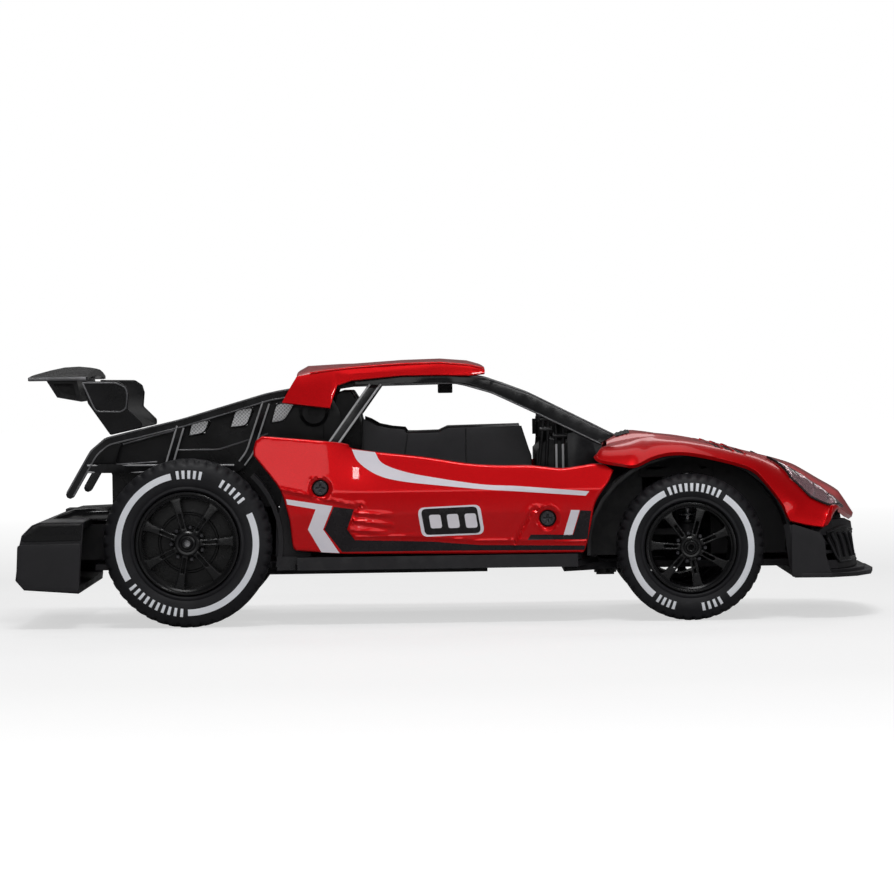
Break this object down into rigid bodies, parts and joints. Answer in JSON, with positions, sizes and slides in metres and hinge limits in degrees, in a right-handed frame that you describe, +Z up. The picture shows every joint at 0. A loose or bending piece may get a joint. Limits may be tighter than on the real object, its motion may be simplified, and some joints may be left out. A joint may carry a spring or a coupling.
{
  "type": "rc drift car",
  "caption": "Radio-controlled drift car with metal body panels, roll-cage rear deck and wing, a geared motor on a locked rear axle and sprung steered front wheels.",
  "frame": {"origin": "on the ground under the middle of the car's length", "axes": "+X forward to the nose, +Y to the car's left, +Z up"},
  "size_m": [0.377, 0.17, 0.1152],
  "materials": {
    "painted_red": "deep candy red lacquer over metal, high gloss",
    "gloss_black": "black moulded plastic, semi gloss",
    "matte_black": "black moulded plastic, fine matte grain",
    "tyre_rubber": "soft black rubber with white printed arcs",
    "steel": "plain steel, fine turning marks",
    "nylon": "natural nylon",
    "lens": "clear moulded lens, faintly tinted",
    "circuit": "green laminate with dark chips",
    "cell_wrap": "blue shrink wrap"
  },
  "bodies": {
    "chassis": {"hood_shell": "painted_red", "roof_panel": "painted_red", "side_panel_right": "painted_red", "side_panel_left": "painted_red", "cabin_frame": "gloss_black", "rear_frame_right": "gloss_black", "rear_frame_left": "gloss_black", "wing_blade": "gloss_black", "wing_stay_right": "gloss_black", "wing_stay_left": "gloss_black", "engine_cover": "gloss_black", "seat_right": "gloss_black", "seat_left": "gloss_black", "rearview_mirror": "gloss_black", "dashboard": "gloss_black", "servo_case": "gloss_black", "front_bumper": "matte_black", "front_splitter": "matte_black", "rear_bumper": "matte_black", "chassis_tray": "matte_black", "front_arches": "matte_black", "electronics_cover": "matte_black", "gearbox_case": "matte_black", "front_subframe": "matte_black", "panel_screw_rear_right": "steel", "panel_screw_rear_left": "steel", "panel_screw_front_right": "steel", "panel_screw_front_left": "steel", "motor_can": "steel", "axle_bush_right": "steel", "axle_bush_left": "steel", "kingpin_right": "steel", "kingpin_left": "steel", "front_spring_right": "steel", "front_spring_left": "steel", "headlight_right": "lens", "headlight_left": "lens", "circuit_board": "circuit", "battery_pack": "cell_wrap"},
    "rear_axle_set": {"rear_axle": "steel", "drive_gear": "nylon", "rear_rim_right": "gloss_black", "rear_tyre_right": "tyre_rubber", "rear_rim_left": "gloss_black", "rear_tyre_left": "tyre_rubber"},
    "motor_rotor": {"motor_pinion": "steel"},
    "tie_rod": {"tie_rod": "matte_black"},
    "servo_horn": {"servo_horn": "nylon"},
    "battery_door": {"battery_door": "matte_black"},
    "power_switch": {"power_switch": "gloss_black"},
    "trim_dial": {"trim_dial": "gloss_black"},
    "spring_seat_right": {"spring_seat_right": "nylon"},
    "knuckle_right": {"knuckle_right": "matte_black"},
    "front_wheel_right": {"front_rim_right": "gloss_black", "front_tyre_right": "tyre_rubber"},
    "spring_seat_left": {"spring_seat_left": "nylon"},
    "knuckle_left": {"knuckle_left": "matte_black"},
    "front_wheel_left": {"front_rim_left": "gloss_black", "front_tyre_left": "tyre_rubber"}
  },
  "joints": [
    {"name": "rear_axle_spin", "type": "hinge", "parent": "chassis", "child": "rear_axle_set", "pos_m": [-0.1135, 0, 0.0366], "axis": [0, 1, 0], "continuous": true},
    {"name": "motor_spin", "type": "hinge", "parent": "chassis", "child": "motor_rotor", "pos_m": [-0.09456, 0, 0.04349], "axis": [0, 1, 0], "continuous": true},
    {"name": "suspension_right", "type": "slide", "parent": "chassis", "child": "spring_seat_right", "axis": [0, 0, 1], "range_m": [0, 0.004], "stiffness_N_per_m": 800, "springref_m": -0.004, "deforming": ["front_spring_right"]},
    {"name": "steer_right", "type": "hinge", "parent": "spring_seat_right", "child": "knuckle_right", "pos_m": [0.105, -0.0535, 0.0318], "axis": [0, 0, 1], "range_deg": [-22, 22]},
    {"name": "front_wheel_spin_right", "type": "hinge", "parent": "knuckle_right", "child": "front_wheel_right", "pos_m": [0.105, -0.0535, 0.0318], "axis": [0, 1, 0], "continuous": true},
    {"name": "suspension_left", "type": "slide", "parent": "chassis", "child": "spring_seat_left", "axis": [0, 0, 1], "range_m": [0, 0.004], "stiffness_N_per_m": 800, "springref_m": -0.004, "deforming": ["front_spring_left"]},
    {"name": "steer_left", "type": "hinge", "parent": "spring_seat_left", "child": "knuckle_left", "pos_m": [0.105, 0.0535, 0.0318], "axis": [0, 0, 1], "range_deg": [-22, 22]},
    {"name": "front_wheel_spin_left", "type": "hinge", "parent": "knuckle_left", "child": "front_wheel_left", "pos_m": [0.105, 0.0535, 0.0318], "axis": [0, 1, 0], "continuous": true},
    {"name": "tie_rod_slide", "type": "slide", "parent": "chassis", "child": "tie_rod", "axis": [0, 1, 0], "range_m": [-0.0055, 0.0055]},
    {"name": "servo_turn", "type": "hinge", "parent": "chassis", "child": "servo_horn", "pos_m": [0.077, 0, 0.045], "axis": [0, 0, 1], "range_deg": [-22.5, 22.5]},
    {"name": "battery_door_slide", "type": "slide", "parent": "chassis", "child": "battery_door", "axis": [-1, 0, 0], "range_m": [0, 0.05]},
    {"name": "power_switch_slide", "type": "slide", "parent": "chassis", "child": "power_switch", "axis": [1, 0, 0], "range_m": [0, 0.004]},
    {"name": "trim_dial_turn", "type": "hinge", "parent": "chassis", "child": "trim_dial", "pos_m": [0.07, 0, 0.0192], "axis": [0, 0, 1], "range_deg": [-30, 30]}
  ],
  "couplings": [
    {"joint": "motor_spin", "follows": "rear_axle_spin", "ratio": -3},
    {"joint": "steer_left", "follows": "steer_right", "ratio": 1},
    {"joint": "tie_rod_slide", "follows": "steer_right", "m_per_rad": -0.014},
    {"joint": "servo_turn", "follows": "steer_right", "ratio": -1}
  ]
}
